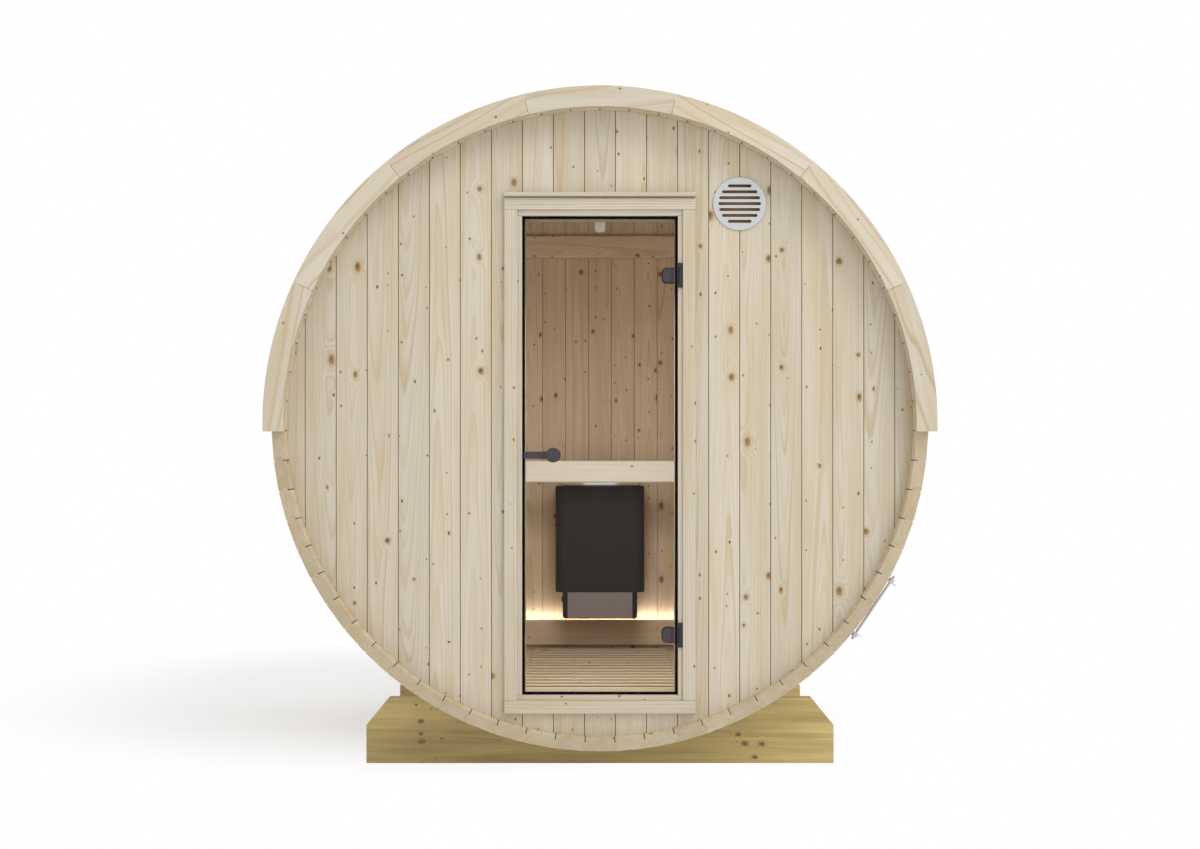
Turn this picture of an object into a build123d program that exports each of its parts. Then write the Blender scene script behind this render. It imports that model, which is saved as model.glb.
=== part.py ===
from build123d import *
import math
import os

# Barrel sauna on two timber cradles: staved shell, boarded ends, glass door, wall heater.
# Millimetres. X to the right seen from the door, Y into the cabin, Z up.
# Origin on the ground under the middle of the barrel.

# Barrel
barrel_length = 2100.0
stave_apothem = 1100.0
stave_thickness = 40.0
stave_count = 67
ground_clearance = 143.0

# Stave joint: a bead on one edge in a cove on the next
joint_gap = 0.4
bead_radius = 11.5
cove_clearance = 0.4
outer_chamfer = 3.5
slot_width = 2.6
slot_depth = 10.0

# Bundles of staves, counted up each side from the lowest stave
bed_share = 0.12
bundle_names = ("lower", "side", "upper")
bundle_shares = (0.42, 0.71, 1.0)

# End walls
end_recess = 60.0
wall_thickness = 40.0
seat_gap = 0.3

# Arch trim on the stave ends
trim_lip = 4.0
trim_overhang = 26.0
trim_thickness = 28.0
trim_pieces = 7
trim_drop = 28.5
trim_joint = 0.8

# Roof covering over the upper staves
roof_lift = 1.8
roof_thickness = 8.0
strap_groove_clearance = 1.0

# Hoops
strap_lift = 1.5
strap_thickness = 1.5
strap_width = 30.0
strap_from_end = 130.0
lug_angle = -34.0
lug_half_gap = 104.0
lug_height = 48.0
lug_thickness = 3.0
rod_radius = 4.5
rod_height = 27.0
rod_overhang = 26.0
nut_flats = 17.0
nut_height = 12.0
rod_hole_clearance = 0.3

# Cradles
cradle_thickness = 48.0
cradle_spacing = 998.0
cradle_half_width = 860.0
cradle_side_height = 140.0
cradle_height = 241.0
cradle_chamfer = 82.0
cradle_seat_lift = 1.5

# Doorway
leaf_half_width = 264.0
leaf_above_bed = 139.5
leaf_below_crown = 357.5
door_gap = 5.6
frame_width = 38.0
frame_depth = 92.0
frame_proud = 8.0
rebate_depth = 20.0
stop_width = 9.4
seal_thickness = 3.0
casing_width = 44.0
casing_proud = 18.0
casing_reveal = 16.0
bottom_casing_reveal = 17.5
top_casing_reveal = 19.5
cap_height = 16.0
cap_front_share = 0.85
cap_overhang = 14.0
cap_shadow_height = 5.0
cap_shadow_depth = 8.0

# Glass leaf and its fittings
glass_thickness = 8.0
glass_setback = 4.0
hinge_from_top = 202.5
hinge_from_bottom = 204.0
hinge_height = 83.0
clamp_height = 53.0
clamp_width = 45.0
clamp_corner = 17.0
clamp_inset = 4.5
clamp_plate = 6.0
inner_plate = 5.0
knuckle_radius = 6.5
knuckle_clearance = 1.5
knuckle_end_gap = 0.5
pin_radius = 3.0
pin_clearance = 0.08
pivot_inset = 2.0
hinge_leaf = 4.0
web_length = 20.0
handle_from_bottom = 812.5
handle_height = 24.0
handle_reach = 100.0
handle_edge_inset = 0.5
inner_edge_inset = 10.0
knob_radius = 24.5
knob_thickness = 20.0
knob_standoff = 29.0
knob_edge = 4.0
neck_radius = 11.0
latch_width = 4.0
latch_height = 71.0
latch_thickness = 2.0

# Vent
vent_radius = 90.5
vent_thickness = 6.0
vent_edge = 2.5
vent_from_casing = 149.0
vent_above_leaf = 41.2
vent_slots = 7
vent_pitch = 20.0
vent_slot_height = 10.4
vent_slot_circle = 72.0
vent_hole_radius = 80.0

# Duckboard floor
floor_above_bed = 66.0
slat_end_gap = 5.2
slat_width = 45.0
slat_pitch = 85.0
slat_thickness = 22.0
slat_edge = 2.0
slat_front_gap = 49.0
joist_inset = 176.0
joist_width = 45.0

# Battens, light strip and sensor on the back wall
batten_thickness = 28.0
batten_edge = 9.0
top_batten_below_crown = 168.0
top_batten_height = 103.0
low_batten_above_floor = 126.0
low_batten_height = 118.0
light_rebate = 14.0
light_strip_width = 9.0
light_strip_height = 7.0
light_strip_half_length = 380.0
sensor_width = 48.0
sensor_height = 73.0
sensor_depth = 27.0
sensor_below_crown = 81.0
sensor_corner = 17.0
sensor_edge = 2.0

# Heater
heater_wall_gap = 30.0
heater_width = 397.0
heater_depth = 210.0
cover_above_floor = 740.5
cover_height = 469.5
cover_corner = 45.0
cover_back_corner = 8.0
cover_sheet = 2.5
core_gap = 10.0
core_top_depth = 80.0
box_width = 332.0
box_height = 118.5
box_corner = 13.0
box_setback = 14.0
box_cap_width = 22.0
dial_radius = 12.5
dial_proud = 7.5
dial_drop = 40.0
bracket_width = 40.0
bracket_height = 320.0
bracket_spread = 110.0

# Guard rail in front of the heater
rail_above_floor = 857.0
rail_height = 95.5
rail_thickness = 40.0
rail_edge = 9.0
rail_from_heater = 110.0

# Cuts run this far past what they cut
overrun = 5.0

os.makedirs("parts", exist_ok=True)

# Places worked out from the sizes above
axis_height = ground_clearance + stave_apothem
half_length = barrel_length / 2
inner_apothem = stave_apothem - stave_thickness
pitch_angle = 360.0 / stave_count
fit_radius = inner_apothem - seat_gap
trim_inner_radius = inner_apothem - trim_lip
trim_outer_radius = stave_apothem + trim_overhang
wall_front = -half_length + end_recess
wall_inside = wall_front + wall_thickness
back_inside = half_length - end_recess - wall_thickness
back_outside = half_length - end_recess
bed = axis_height - inner_apothem
crown = axis_height + inner_apothem
leaf_bottom = bed + leaf_above_bed
leaf_top = crown - leaf_below_crown
frame_half_width = leaf_half_width + frame_width
frame_bottom = leaf_bottom - frame_width
frame_top = leaf_top + frame_width
frame_front = wall_front - frame_proud
frame_back = frame_front + frame_depth
stop_front = frame_front + rebate_depth
stop_half_width = leaf_half_width - stop_width
casing_front = wall_front - casing_proud
casing_inner = leaf_half_width + casing_reveal
casing_outer = casing_inner + casing_width
casing_low = leaf_bottom - bottom_casing_reveal
casing_high = leaf_top + top_casing_reveal
glass_front = frame_front + glass_setback
glass_back = glass_front + glass_thickness
glass_half_width = leaf_half_width - door_gap
glass_bottom = leaf_bottom + door_gap
glass_top = leaf_top - door_gap
pivot_x = leaf_half_width + pivot_inset
pivot_y = frame_front - knuckle_radius - knuckle_clearance
handle_z = leaf_bottom + handle_from_bottom
vent_offset = casing_outer + vent_from_casing
vent_z = leaf_top + vent_above_leaf
floor_top = bed + floor_above_bed
heater_back = back_inside - heater_wall_gap
heater_front = heater_back - heater_depth


def save(node, shapes):
    """Write one node, a single solid or a group of like ones."""
    solids = [solid for shape in shapes for solid in shape.solids()]
    export_step(solids[0] if len(solids) == 1 else Compound(children=solids), f"parts/{node}.step")


def across(sketch, y_from, y_to):
    """Push an outline drawn across the barrel (X and Z) from one depth to another."""
    plane = Plane((0, y_from, 0), x_dir=(1, 0, 0), z_dir=(0, -1, 0))
    return extrude(plane * sketch, amount=y_from - y_to)


def block(x_from, x_to, y_from, y_to, z_from, z_to):
    """A squared timber or plate between two corners."""
    size = (x_to - x_from, y_to - y_from, z_to - z_from)
    middle = ((x_from + x_to) / 2, (y_from + y_to) / 2, (z_from + z_to) / 2)
    return Pos(*middle) * Box(*size)


def upright(x, y, z_from, z_to, radius):
    """A vertical round bar."""
    return Pos(x, y, (z_from + z_to) / 2) * Cylinder(radius, z_to - z_from)


def boss(x, z, y_from, y_to, radius):
    """A round bar that points along the barrel."""
    return Pos(x, (y_from + y_to) / 2, z) * Rot(90, 0, 0) * Cylinder(radius, y_to - y_from)


def bore_of_barrel(y_from, y_to, radius):
    """A cylinder on the barrel's axis, for scribing what meets the staves."""
    return boss(0, axis_height, y_from, y_to, radius)


# Staves

def stave_outline(left_edge, right_edge):
    """Section of the lowest stave, with a bead or a cove on each edge."""
    slope = math.tan(math.radians(pitch_angle / 2))
    middle = stave_apothem - stave_thickness / 2
    slot_top = inner_apothem + slot_depth
    points = []
    for side in (1, -1):
        half = [
            (stave_apothem * slope - joint_gap / 2 - outer_chamfer, -stave_apothem),
            ((stave_apothem - outer_chamfer) * slope - joint_gap / 2, outer_chamfer - stave_apothem),
            (slot_top * slope - joint_gap / 2, -slot_top),
            (slot_top * slope - slot_width / 2, -slot_top),
            (inner_apothem * slope - slot_width / 2, -inner_apothem),
        ]
        run = [(side * x, z) for x, z in half]
        points += run if side == 1 else run[::-1]
    outline = make_face(Polyline(*points, close=True))
    for side, edge in ((-1, left_edge), (1, right_edge)):
        place = Pos(side * (middle * slope), -middle)
        if edge == "bead":
            outline += place * Circle(bead_radius)
        else:
            outline -= place * Circle(bead_radius + cove_clearance)
    return outline


def staves():
    """The ring of staves, from the lowest round both sides to the closing one at the top."""
    kinds = {
        "lowest": across(stave_outline("bead", "bead"), -half_length, half_length),
        "right": across(stave_outline("cove", "bead"), -half_length, half_length),
        "left": across(stave_outline("bead", "cove"), -half_length, half_length),
        "closing": across(stave_outline("cove", "cove"), -half_length, half_length),
    }
    side_count = stave_count // 2
    ring = {}
    for index in range(-side_count, side_count + 1):
        kind = "lowest" if index == 0 else "right" if index > 0 else "left"
        if index == side_count:
            kind = "closing"
        ring[index] = Pos(0, 0, axis_height) * Rot(0, -index * pitch_angle, 0) * kinds[kind]
    return ring


def save_staves():
    """Seven bundles of staves: the bed under the floor and three up each side."""
    ring = staves()
    bed_reach = round(stave_count * bed_share / 2)
    steps = [round(stave_count / 2 * share) for share in bundle_shares]
    save("staves_bed", [ring[index] for index in range(-bed_reach, bed_reach + 1)])
    for name, start, stop in zip(bundle_names, [bed_reach] + steps[:-1], steps):
        right = [index for index in ring if start < index <= stop]
        left = [index for index in ring if start < -index <= stop]
        save(f"staves_right_{name}", [ring[index] for index in right])
        save(f"staves_left_{name}", [ring[index] for index in left])


save_staves()


# Arch trim

def arch_trim(y_from, y_to):
    """Seven boards sawn to the curve, butted end to end over the upper half."""
    ring = Circle(trim_outer_radius) - Circle(trim_inner_radius)
    drop = trim_outer_radius + overrun - trim_drop
    ring -= Pos(0, -trim_drop - drop / 2) * Rectangle(2 * (trim_outer_radius + overrun), drop)
    reach = math.degrees(math.asin(trim_drop / trim_outer_radius))
    step = (180.0 + 2 * reach) / trim_pieces
    saw_cut = Pos(trim_outer_radius, 0) * Rectangle(trim_outer_radius, trim_joint)
    for joint in range(1, trim_pieces):
        ring -= Rot(0, 0, joint * step - reach) * saw_cut
    return Pos(0, 0, axis_height) * across(ring, y_from, y_to)


save("arch_trim_front", [arch_trim(-half_length - trim_thickness, -half_length)])
save("arch_trim_rear", [arch_trim(half_length, half_length + trim_thickness)])


# Hoops: a steel strap drawn together by a threaded rod between two lugs

strap_inner = stave_apothem + strap_lift
strap_outer = strap_inner + strap_thickness
rod_line = strap_outer + rod_height


def at_lugs(shape, y):
    """Turn what is built on the +X side to where the strap's ends meet."""
    return Pos(0, y, axis_height) * Rot(0, -lug_angle, 0) * shape


def hoop(y):
    """One strap with its two bent-up lugs, drilled for the rod."""
    half = strap_width / 2
    ring = across(Circle(strap_outer) - Circle(strap_inner), -half, half)
    ring -= block(0, strap_outer + overrun, -strap_width, strap_width, -lug_half_gap, lug_half_gap)
    root = math.sqrt(strap_inner ** 2 - lug_half_gap ** 2)
    for side in (1, -1):
        near = side * lug_half_gap
        far = side * (lug_half_gap + lug_thickness)
        lug = block(root, strap_outer + lug_height, -half, half, min(near, far), max(near, far))
        ring += lug
    reach = lug_half_gap + rod_overhang
    ring -= upright(rod_line, 0, -reach, reach, rod_radius + rod_hole_clearance)
    return at_lugs(ring, y)


def tension_rod(y):
    """The rod through both lugs, with a nut outside each."""
    reach = lug_half_gap + rod_overhang
    pieces = [upright(rod_line, 0, -reach, reach, rod_radius)]
    nut = RegularPolygon(nut_flats / 2, 6, major_radius=False)
    nut -= Circle(rod_radius + rod_hole_clearance)
    seat = lug_half_gap + lug_thickness + rod_hole_clearance
    pieces.append(Pos(rod_line, 0, seat) * extrude(nut, amount=nut_height))
    pieces.append(Pos(rod_line, 0, -seat) * extrude(nut, amount=-nut_height))
    return [at_lugs(piece, y) for piece in pieces]


hoop_places = {"front": -half_length + strap_from_end, "rear": half_length - strap_from_end}
for end, place in hoop_places.items():
    save(f"hoop_{end}", [hoop(place)])
    save(f"hoop_rod_{end}", tension_rod(place))


# Roof covering: a bitumen skin over the upper staves, with the straps under it

def roof_covering():
    """Half a ring, grooved inside where the two straps pass."""
    skin_inner = stave_apothem + roof_lift
    skin_outer = skin_inner + roof_thickness
    ring = Circle(skin_outer) - Circle(skin_inner)
    drop = skin_outer + overrun - trim_drop
    ring -= Pos(0, -trim_drop - drop / 2) * Rectangle(2 * (skin_outer + overrun), drop)
    skin = Pos(0, 0, axis_height) * across(ring, -half_length, half_length)
    half = strap_width / 2 + strap_groove_clearance
    for place in hoop_places.values():
        skin -= bore_of_barrel(place - half, place + half, strap_outer + strap_groove_clearance)
    return skin


save("roof_covering", [roof_covering()])


# Cradles

def cradle(y):
    """A sawn plank with chamfered shoulders, hollowed to the barrel."""
    half = [
        (cradle_half_width, 0),
        (cradle_half_width, cradle_side_height),
        (cradle_half_width - cradle_chamfer, cradle_height),
    ]
    points = half + [(-x, z) for x, z in reversed(half)]
    plank = across(make_face(Polyline(*points, close=True)), y, y + cradle_thickness)
    seat = stave_apothem + cradle_seat_lift
    return plank - bore_of_barrel(y - overrun, y + cradle_thickness + overrun, seat)


save("cradle_front", [cradle(-cradle_spacing / 2 - cradle_thickness / 2)])
save("cradle_rear", [cradle(cradle_spacing / 2 - cradle_thickness / 2)])


# End walls

wall_outline = RegularPolygon(fit_radius, stave_count, major_radius=False, rotation=pitch_angle / 2 - 90.0)


def wall_piece(x_from, x_to, z_from, z_to):
    """The part of the front wall inside one window of the round outline."""
    centre = Pos((x_from + x_to) / 2, (z_from + z_to) / 2 - axis_height)
    piece = wall_outline & (centre * Rectangle(x_to - x_from, z_to - z_from))
    return Pos(0, 0, axis_height) * across(piece, wall_front, wall_inside)


wall_low = axis_height - stave_apothem
wall_high = axis_height + stave_apothem
cheek = frame_half_width + seat_gap
left_wall = wall_piece(-stave_apothem, -cheek, wall_low, wall_high)
right_wall = wall_piece(cheek, stave_apothem, wall_low, wall_high)
right_wall -= boss(vent_offset, vent_z, wall_front - overrun, wall_inside + overrun, vent_hole_radius)
save("front_wall_left", [left_wall])
save("front_wall_right", [right_wall])
over_door = wall_piece(-frame_half_width, frame_half_width, frame_top + seat_gap, wall_high)
under_door = wall_piece(-frame_half_width, frame_half_width, wall_low, frame_bottom - seat_gap)
save("front_wall_over_door", [over_door])
save("front_wall_under_door", [under_door])
save("back_wall", [Pos(0, 0, axis_height) * across(wall_outline, back_inside, back_outside)])


# Door frame, seal and casing

def jamb(side):
    """An upright of the frame, rebated for the glass."""
    inner = sorted((side * leaf_half_width, side * frame_half_width))
    stop = sorted((side * stop_half_width, side * frame_half_width))
    post = block(*inner, frame_front, frame_back, leaf_bottom, leaf_top)
    return post + block(*stop, stop_front, frame_back, leaf_bottom, leaf_top)


def cross_rail(z_from, z_to, stop_from, stop_to):
    """The head or the sill of the frame, with its stop between the uprights."""
    rail = block(-frame_half_width, frame_half_width, frame_front, frame_back, z_from, z_to)
    return rail + block(-stop_half_width, stop_half_width, stop_front, frame_back, stop_from, stop_to)


save("door_jamb_left", [jamb(-1)])
save("door_jamb_right", [jamb(1)])
save("door_head", [cross_rail(leaf_top, frame_top, leaf_top - stop_width, leaf_top)])
save("door_sill", [cross_rail(frame_bottom, leaf_bottom, leaf_bottom, leaf_bottom + stop_width)])


def door_seal():
    """Four strips of rubber on the face of the stop."""
    front = stop_front - seal_thickness
    strips = []
    for side in (1, -1):
        edges = sorted((side * stop_half_width, side * leaf_half_width))
        strips.append(block(*edges, front, stop_front, leaf_bottom, leaf_top))
    inner = stop_half_width - seat_gap
    strips.append(block(-inner, inner, front, stop_front, leaf_top - stop_width, leaf_top))
    strips.append(block(-inner, inner, front, stop_front, leaf_bottom, leaf_bottom + stop_width))
    return strips


save("door_seal", door_seal())


def casing_side(side):
    """An upright of the casing, lapped over the joint of frame and wall."""
    face = sorted((side * casing_inner, side * casing_outer))
    lap = sorted((side * cheek, side * casing_outer))
    board = block(*face, casing_front, frame_front, casing_low, casing_high)
    return board + block(*lap, frame_front, wall_front, casing_low, casing_high)


def casing_level(z_from, z_to, lap_from, lap_to):
    """The top or bottom board of the casing."""
    board = block(-casing_outer, casing_outer, casing_front, frame_front, z_from, z_to)
    return board + block(-casing_outer, casing_outer, frame_front, wall_front, lap_from, lap_to)


def casing_top():
    """The top board, stepped back under the drip cap so that a shadow line shows."""
    top = casing_high + casing_width
    board = casing_level(casing_high, top, frame_top + seat_gap, top)
    low = top - cap_shadow_height
    step_back = casing_front + cap_shadow_depth
    return board - block(-casing_outer, casing_outer, casing_front, step_back, low, top)


def drip_cap():
    """A weathered ledge over the casing, sloped to throw off rain."""
    low = casing_high + casing_width
    front = casing_front - cap_overhang
    points = [
        (wall_front, low),
        (front, low),
        (front, low + cap_height * cap_front_share),
        (wall_front, low + cap_height),
    ]
    section = make_face(Plane.YZ * Polyline(*points, close=True))
    return Pos(-casing_outer, 0, 0) * extrude(section, amount=2 * casing_outer, dir=(1, 0, 0))


casing_foot = casing_low - casing_width
casing_bottom = casing_level(casing_foot, casing_low, casing_foot, frame_bottom - seat_gap)
save("casing_left", [casing_side(-1)])
save("casing_right", [casing_side(1)])
save("casing_top", [casing_top()])
save("casing_bottom", [casing_bottom])
save("drip_cap", [drip_cap()])


# Glass leaf, hinges and handle

save("door_glass", [
    block(-glass_half_width, glass_half_width, glass_front, glass_back, glass_bottom, glass_top)
])


def clamp_outline(x_from, x_to):
    """A clamp plate seen from the front, round at its free corners."""
    plate = Rectangle(x_to - x_from, clamp_height)
    free = plate.vertices().group_by(Axis.X)[0]
    return Pos((x_from + x_to) / 2, 0) * fillet(free, clamp_corner)


def hinge_fixed(z):
    """The leaf screwed to the frame, its two outer knuckles and the pin."""
    low, high = z - hinge_height / 2, z + hinge_height / 2
    back = pivot_x + knuckle_radius + knuckle_clearance
    edge = casing_inner - seat_gap
    fixed = block(back, edge, frame_front - hinge_leaf, frame_front, low, high)
    gap = clamp_height / 2 + knuckle_end_gap
    for start, stop in ((low, z - gap), (z + gap, high)):
        fixed += upright(pivot_x, pivot_y, start, stop, knuckle_radius)
        fixed += block(pivot_x, edge, pivot_y - hinge_leaf / 2, frame_front, start, stop)
    return fixed + upright(pivot_x, pivot_y, low, high, pin_radius)


def hinge_clamp(z):
    """The moving half: a knuckle, a web and a plate on each face of the glass."""
    right = glass_half_width - clamp_inset
    left = right - clamp_width
    level = Pos(0, 0, z)
    front = level * across(clamp_outline(left, right), glass_front - clamp_plate, glass_front)
    low, high = z - clamp_height / 2, z + clamp_height / 2
    face = glass_front - clamp_plate
    web = block(pivot_x - web_length, pivot_x, pivot_y - hinge_leaf, face, low, high)
    knuckle = upright(pivot_x, pivot_y, low, high, knuckle_radius)
    moving = front + web + knuckle
    moving -= upright(pivot_x, pivot_y, low - overrun, high + overrun, pin_radius + pin_clearance)
    inner_right = glass_half_width - inner_edge_inset
    back = level * across(clamp_outline(left, inner_right), glass_back, glass_back + inner_plate)
    return [moving, back]


for name, level in (("upper", leaf_top - hinge_from_top), ("lower", leaf_bottom + hinge_from_bottom)):
    save(f"hinge_leaf_{name}", [hinge_fixed(level)])
    save(f"hinge_clamp_{name}", hinge_clamp(level))


def pull(face, out, edge_inset, plate):
    """A plate from the edge of the glass to a turned knob; out is the way it faces."""
    knob_x = -glass_half_width + handle_reach
    edge = -glass_half_width + edge_inset
    low, high = handle_z - handle_height / 2, handle_z + handle_height / 2
    strap = block(edge, knob_x, *sorted((face, face + out * plate)), low, high)
    neck_end = face + out * knob_standoff
    knob_end = neck_end + out * knob_thickness
    neck = boss(knob_x, handle_z, *sorted((face, neck_end)), neck_radius)
    knob = boss(knob_x, handle_z, *sorted((neck_end, knob_end)), knob_radius)
    knob = fillet(knob.edges().filter_by(GeomType.CIRCLE), knob_edge)
    return strap + neck + knob


save("door_pull_outside", [pull(glass_front, -1, handle_edge_inset, clamp_plate)])
save("door_pull_inside", [pull(glass_back, 1, inner_edge_inset, inner_plate)])
save("latch_plate", [
    block(
        -leaf_half_width - latch_width,
        -leaf_half_width,
        frame_front - latch_thickness,
        frame_front,
        handle_z - latch_height / 2,
        handle_z + latch_height / 2,
    )
])


# Vent grille

def vent_grille():
    """A round plate with a softened rim and seven slots inside one circle."""
    front = wall_front - vent_thickness
    plate = boss(vent_offset, vent_z, front, wall_front, vent_radius)
    rim = plate.faces().sort_by(Axis.Y)[0].edges()
    plate = fillet(rim, vent_edge)
    reach = vent_slots // 2
    for row in range(-reach, reach + 1):
        rise = row * vent_pitch
        half = math.sqrt(vent_slot_circle ** 2 - rise ** 2)
        slot = Pos(vent_offset, vent_z + rise) * SlotOverall(2 * half, vent_slot_height)
        plate -= across(slot, front - overrun, wall_front + overrun)
    return plate


save("vent_grille", [vent_grille()])


# Duckboard floor

slat_bottom = floor_top - slat_thickness
floor_half_width = math.sqrt(fit_radius ** 2 - (axis_height - slat_bottom) ** 2) - slat_end_gap
joist_offset = floor_half_width - joist_inset
floor_front = frame_back + slat_front_gap
slat_total = int((back_inside - batten_thickness - floor_front + slat_pitch - slat_width) // slat_pitch)
floor_back = floor_front + (slat_total - 1) * slat_pitch + slat_width


def slat(index):
    """One cross slat with eased upper edges."""
    start = floor_front + index * slat_pitch
    board = block(-floor_half_width, floor_half_width, start, start + slat_width, slat_bottom, floor_top)
    top = board.faces().sort_by(Axis.Z)[-1]
    return chamfer(top.edges().filter_by(Axis.X), slat_edge)


def joist(side):
    """A runner under the slats, scribed to the staves."""
    edges = sorted((side * (joist_offset - joist_width / 2), side * (joist_offset + joist_width / 2)))
    runner = block(*edges, floor_front, floor_back, axis_height - stave_apothem, slat_bottom)
    return runner & bore_of_barrel(floor_front, floor_back, fit_radius)


save("floor_slats", [slat(index) for index in range(slat_total)])
save("floor_joists", [joist(1), joist(-1)])


# Fittings on the back wall

def batten(z_from, z_to):
    """A board across the back wall, scribed to the staves, its front edges eased."""
    front = back_inside - batten_thickness
    board = block(-stave_apothem, stave_apothem, front, back_inside, z_from, z_to)
    face = board.faces().sort_by(Axis.Y)[0]
    board = fillet(face.edges().filter_by(Axis.X), batten_edge)
    return board & bore_of_barrel(front, back_inside, fit_radius)


top_batten_high = crown - top_batten_below_crown
low_batten_top = floor_top + low_batten_above_floor
light_front = back_inside - light_rebate
light_floor = low_batten_top - light_rebate
low_batten = batten(low_batten_top - low_batten_height, low_batten_top)
low_batten -= block(-stave_apothem, stave_apothem, light_front, back_inside, light_floor, low_batten_top)
save("back_batten_top", [batten(top_batten_high - top_batten_height, top_batten_high)])
save("back_batten_low", [low_batten])
save("light_strip", [
    block(
        -light_strip_half_length,
        light_strip_half_length,
        light_front,
        light_front + light_strip_width,
        light_floor,
        light_floor + light_strip_height,
    )
])


def sensor():
    """A small moulded box, round at its lower corners."""
    middle = crown - sensor_below_crown - sensor_height / 2
    face = Rectangle(sensor_width, sensor_height)
    face = fillet(face.vertices().group_by(Axis.Y)[0], sensor_corner)
    body = Pos(0, 0, middle) * across(face, back_inside - sensor_depth, back_inside)
    return fillet(body.faces().sort_by(Axis.Y)[0].edges(), sensor_edge)


save("temperature_sensor", [sensor()])


# Heater on the back wall

cover_top = floor_top + cover_above_floor
cover_bottom = cover_top - cover_height
heater_middle = (heater_front + heater_back) / 2


def heater_plan(inset):
    """The heater seen from above: generous front corners, tight back ones."""
    plan = Rectangle(heater_width - 2 * inset, heater_depth - 2 * inset)
    rows = plan.vertices().group_by(Axis.Y)
    plan = fillet(rows[0], cover_corner - inset)
    back = plan.vertices().group_by(Axis.Y)[-1]
    plan = fillet(back, cover_back_corner - min(inset, cover_sheet))
    return Pos(0, heater_middle) * plan


def heater_shell(inset, z_from, z_to):
    """The heater's plan, drawn in by an inset, between two heights."""
    return Pos(0, 0, z_from) * extrude(heater_plan(inset), amount=z_to - z_from)


hollow = heater_shell(cover_sheet, cover_bottom - overrun, cover_top + overrun)
save("heater_cover", [heater_shell(0, cover_bottom, cover_top) - hollow])
save("heater_core", [heater_shell(core_gap, cover_bottom, cover_top - core_top_depth)])

box_top = cover_bottom
box_bottom = box_top - box_height
box_front = heater_front + box_setback
box_back = heater_back


def box_outline():
    """The control box from the front, round at its lower corners."""
    face = Rectangle(box_width, box_height)
    face = fillet(face.vertices().group_by(Axis.Y)[0], box_corner)
    return Pos(0, box_bottom + box_height / 2) * face


def between_caps(half):
    """The length of the control box between its end caps."""
    front, back = box_front - overrun, box_back + overrun
    return block(-half, half, front, back, box_bottom - overrun, box_top + overrun)


control_box = across(box_outline(), box_front, box_back)
panel_half = box_width / 2 - box_cap_width
save("heater_control_box", [control_box & between_caps(panel_half)])
save("heater_end_caps", [control_box - between_caps(panel_half + seat_gap)])
dial_place = Pos(-box_width / 2 - dial_proud / 2, heater_middle, box_top - dial_drop)
save("heater_dial", [dial_place * Rot(0, 90, 0) * Cylinder(dial_radius, dial_proud)])


def bracket(side):
    """A pressed channel that hangs the heater off the wall."""
    edges = sorted((side * bracket_spread, side * (bracket_spread + bracket_width)))
    high = cover_top - core_top_depth
    return block(*edges, heater_back, back_inside, high - bracket_height, high)


save("heater_bracket", [bracket(1), bracket(-1)])


# Guard rail

def guard_rail():
    """A rounded board across the barrel in front of the heater, scribed to the staves."""
    back = heater_front - rail_from_heater
    front = back - rail_thickness
    top = floor_top + rail_above_floor
    board = block(-stave_apothem, stave_apothem, front, back, top - rail_height, top)
    board = fillet(board.edges().filter_by(Axis.X), rail_edge)
    return board & bore_of_barrel(front, back, fit_radius)


save("heater_guard_rail", [guard_rail()])
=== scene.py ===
import math
import random

import bmesh
import bpy
from mathutils import Matrix, Vector, noise


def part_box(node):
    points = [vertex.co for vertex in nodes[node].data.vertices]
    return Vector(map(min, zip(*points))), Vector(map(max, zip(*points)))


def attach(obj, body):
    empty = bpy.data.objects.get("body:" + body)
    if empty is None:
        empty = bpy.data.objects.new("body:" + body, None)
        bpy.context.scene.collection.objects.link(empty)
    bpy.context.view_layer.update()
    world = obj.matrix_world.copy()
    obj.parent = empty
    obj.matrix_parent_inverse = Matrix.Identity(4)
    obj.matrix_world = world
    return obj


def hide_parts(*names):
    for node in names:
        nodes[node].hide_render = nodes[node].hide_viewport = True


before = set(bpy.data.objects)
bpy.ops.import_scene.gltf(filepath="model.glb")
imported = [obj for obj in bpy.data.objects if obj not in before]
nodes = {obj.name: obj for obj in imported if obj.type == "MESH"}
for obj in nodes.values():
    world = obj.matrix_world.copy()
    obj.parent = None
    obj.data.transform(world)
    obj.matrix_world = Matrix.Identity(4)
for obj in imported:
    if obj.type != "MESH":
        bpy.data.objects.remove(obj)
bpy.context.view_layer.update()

# Sizes in metres, in the row frame: the part's own, and those that the CAD nodes' boxes give
axis_height = 1.243
stave_count = 67
stave_step = math.tau / stave_count
stave_middle = 1.080
stave_half_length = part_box("staves_bed")[1].y
bead_radius = 0.0117
slot_half = 0.0015
slot_from_middle = 0.0096
trim_boards, trim_middle, trim_outer, trim_drop = 7, 1.091, 1.126, 0.0285
trim_step = (math.pi + 2 * math.asin(trim_drop / trim_outer)) / trim_boards
board_pitch = 0.1052
wall_front, wall_inside = (corner.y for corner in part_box("front_wall_left"))
back_inside, back_outside = (corner.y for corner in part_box("back_wall"))
wall_thickness = wall_inside - wall_front
slat_pitch, slat_width = 0.085, 0.045
slats_low, slats_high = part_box("floor_slats")
slat_start, floor_top, slat_thickness = slats_low.y, slats_high.z, slats_high.z - slats_low.z
vent_x, vent_z = 0.473, 1.9867
well_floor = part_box("heater_core")[1].z
# A row of boards with this pitch is a single timber
lone_pitch = 9.0
# Seeds, which set boards of one kind apart from each other
ring_seed, ring_seed_step, row_seed_step = 11.3, 0.371, 0.473


# Shader nodes

# Settings of a node that mixes colours, and of one that eases in and out
in_colour = {"out": 2, "data_type": "RGBA"}
smooth = {"interpolation_type": "SMOOTHSTEP"}


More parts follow.
